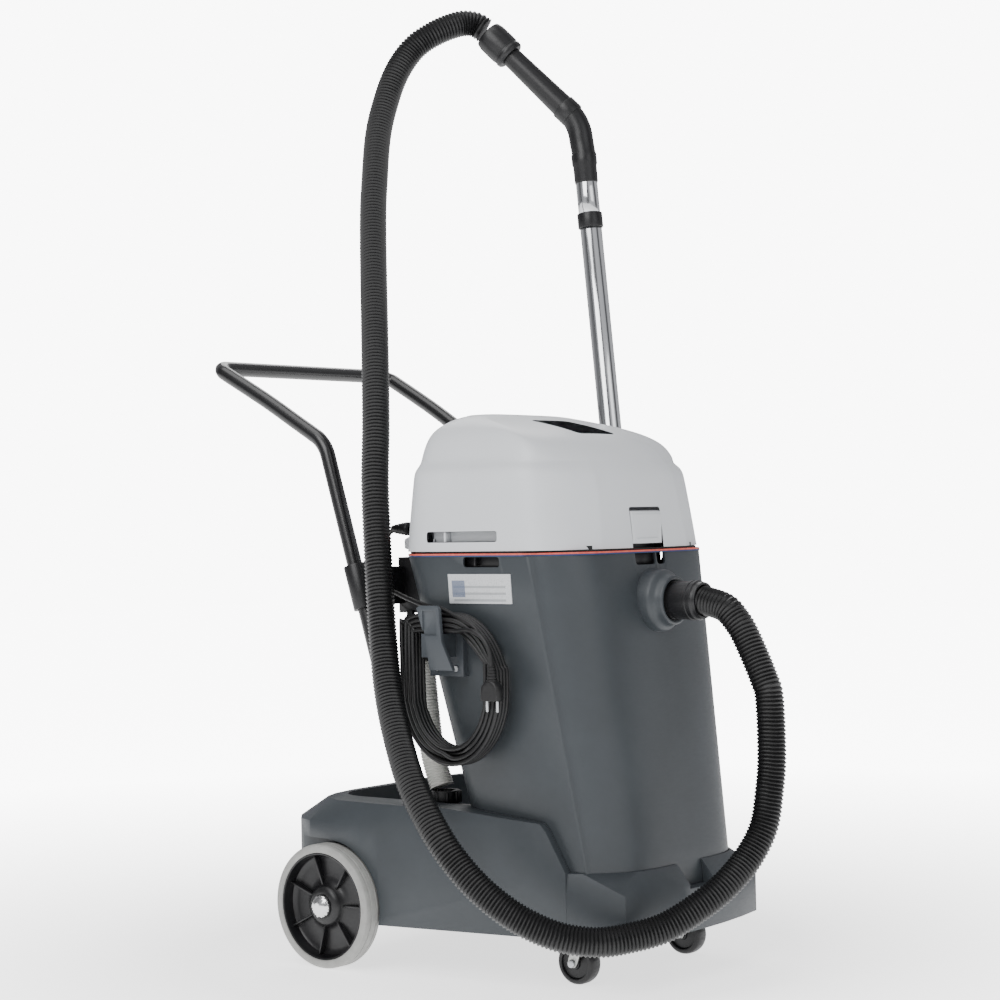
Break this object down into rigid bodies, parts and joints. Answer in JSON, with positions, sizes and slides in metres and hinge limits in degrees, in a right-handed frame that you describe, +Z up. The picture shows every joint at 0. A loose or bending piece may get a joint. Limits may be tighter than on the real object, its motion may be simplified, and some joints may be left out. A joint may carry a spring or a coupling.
{
  "type": "shop vacuum",
  "caption": "Upright wet and dry shop vacuum on a wheeled chassis, with push handle, suction hose, stowed steel wand and coiled mains lead.",
  "frame": {"origin": "middle of the footprint on the floor, under the middle of the machine's length and width without its free hose and lead", "axes": "+Z up; -Y is the front with the hose inlet; +X is the side with the stowed wand"},
  "size_m": [0.6565, 0.9974, 1.6165],
  "materials": {
    "dark_shell": "moulded dark grey plastic with a fine grain",
    "steel": "bright steel",
    "zinc": "zinc-plated pressed steel",
    "black_plastic": "moulded black plastic",
    "tyre_rubber": "grey non-marking rubber",
    "bright_cap": "bright pressed cap",
    "black_paint": "black powder-coated tube",
    "trim_red": "red moulded trim",
    "label": "plain printed label without text",
    "hose_black": "corrugated black hose",
    "polished_tube": "polished steel tube",
    "mid_grey": "moulded grey plastic",
    "hose_white": "corrugated off-white hose",
    "light_shell": "moulded light grey plastic with a fine grain",
    "seal_rubber": "soft black gasket",
    "filter_cloth": "pleated filter cloth",
    "float_white": "hollow float",
    "cord_black": "black sheathed lead"
  },
  "bodies": {
    "chassis": {"chassis": "dark_shell", "rear_axle": "steel", "axle_clamps": "zinc", "hub_caps": "bright_cap", "castor_plates": "zinc", "push_handle": "black_paint", "handle_bracket": "black_plastic", "bracket_screws": "steel", "tub": "dark_shell", "trim_ring": "trim_red", "label_plate": "label", "inlet_boss": "dark_shell", "inlet_elbow": "black_plastic", "inlet_screws": "steel", "suction_hose": "hose_black", "wand_grip": "black_plastic", "upper_tube": "polished_tube", "tube_collar": "black_plastic", "lower_tube": "polished_tube", "tube_holder": "black_plastic", "cord_hook": "mid_grey", "hook_screws": "steel", "drain_outlet": "black_plastic", "drain_nut": "black_plastic", "drain_hose": "hose_white", "mains_lead": "cord_black", "lead_coil": "cord_black", "mains_plug": "black_plastic"},
    "head": {"motor_cover": "light_shell", "cover_screws": "steel", "head_base": "black_plastic", "head_seal": "seal_rubber", "motor_housings": "black_plastic", "fan_casings": "black_plastic", "filter_basket": "black_plastic", "filter_sleeve": "filter_cloth", "switch_bezel": "light_shell", "cable_gland": "black_plastic", "latch_pins": "steel"},
    "left_rotor": {"left_rotor": "steel"},
    "right_rotor": {"right_rotor": "steel"},
    "float": {"float_ball": "float_white"},
    "left_switch": {"left_switch": "black_plastic"},
    "right_switch": {"right_switch": "black_plastic"},
    "front_latch": {"front_latch": "light_shell"},
    "rear_latch": {"rear_latch": "light_shell"},
    "left_wheel": {"left_rim": "black_plastic", "left_tyre": "tyre_rubber"},
    "right_wheel": {"right_rim": "black_plastic", "right_tyre": "tyre_rubber"},
    "left_castor": {"left_castor_fork": "zinc", "left_castor_pin": "steel"},
    "right_castor": {"right_castor_fork": "zinc", "right_castor_pin": "steel"},
    "left_castor_wheel": {"left_castor_wheel": "black_plastic"},
    "right_castor_wheel": {"right_castor_wheel": "black_plastic"},
    "hose_cuff": {"hose_cuff": "black_plastic"},
    "swivel_cuff": {"swivel_cuff": "black_plastic"},
    "air_slider": {"air_slider": "black_plastic"},
    "drain_cap": {"drain_cap": "black_plastic"}
  },
  "joints": [
    {"name": "head_lift", "type": "slide", "parent": "chassis", "child": "head", "axis": [0, 0, 1], "range_m": [0, 0.3]},
    {"name": "left_rotor_spin", "type": "hinge", "parent": "head", "child": "left_rotor", "pos_m": [0.066, -0.15, 0.72], "axis": [0, 0, 1], "continuous": true},
    {"name": "right_rotor_spin", "type": "hinge", "parent": "head", "child": "right_rotor", "pos_m": [-0.066, -0.15, 0.72], "axis": [0, 0, 1], "continuous": true},
    {"name": "float_rise", "type": "slide", "parent": "head", "child": "float", "axis": [0, 0, 1], "range_m": [0, 0.06]},
    {"name": "left_switch_rock", "type": "hinge", "parent": "head", "child": "left_switch", "pos_m": [0.023, -0.172, 0.848], "axis": [1, 0, 0], "range_deg": [-8, 8]},
    {"name": "right_switch_rock", "type": "hinge", "parent": "head", "child": "right_switch", "pos_m": [-0.023, -0.172, 0.848], "axis": [1, 0, 0], "range_deg": [-8, 8]},
    {"name": "front_latch_turn", "type": "hinge", "parent": "head", "child": "front_latch", "pos_m": [0, -0.318, 0.722], "axis": [1, 0, 0], "range_deg": [-80, 0]},
    {"name": "rear_latch_turn", "type": "hinge", "parent": "head", "child": "rear_latch", "pos_m": [0, 0.003, 0.722], "axis": [1, 0, 0], "range_deg": [0, 80]},
    {"name": "left_wheel_roll", "type": "hinge", "parent": "chassis", "child": "left_wheel", "pos_m": [0.261, 0.136, 0.1], "axis": [1, 0, 0], "continuous": true},
    {"name": "right_wheel_roll", "type": "hinge", "parent": "chassis", "child": "right_wheel", "pos_m": [-0.261, 0.136, 0.1], "axis": [1, 0, 0], "continuous": true},
    {"name": "left_castor_swivel", "type": "hinge", "parent": "chassis", "child": "left_castor", "pos_m": [0.146, -0.306, 0.09], "axis": [0, 0, 1], "continuous": true},
    {"name": "right_castor_swivel", "type": "hinge", "parent": "chassis", "child": "right_castor", "pos_m": [-0.146, -0.306, 0.09], "axis": [0, 0, 1], "continuous": true},
    {"name": "left_castor_roll", "type": "hinge", "parent": "left_castor", "child": "left_castor_wheel", "pos_m": [0.146, -0.284, 0.034], "axis": [1, 0, 0], "continuous": true},
    {"name": "right_castor_roll", "type": "hinge", "parent": "right_castor", "child": "right_castor_wheel", "pos_m": [-0.146, -0.284, 0.034], "axis": [1, 0, 0], "continuous": true},
    {"name": "hose_cuff_turn", "type": "hinge", "parent": "chassis", "child": "hose_cuff", "pos_m": [0, -0.4, 0.586], "axis": [0, 1, 0], "continuous": true},
    {"name": "swivel_cuff_turn", "type": "hinge", "parent": "chassis", "child": "swivel_cuff", "pos_m": [0.195, 0.082, 1.532], "axis": [-0.335, 0.6112, 0.717], "continuous": true},
    {"name": "air_slider_slide", "type": "slide", "parent": "chassis", "child": "air_slider", "axis": [-0.335, 0.6112, 0.717], "range_m": [0, 0.03]},
    {"name": "drain_cap_pull", "type": "slide", "parent": "chassis", "child": "drain_cap", "axis": [0, 0, 1], "range_m": [0, 0.02]}
  ]
}
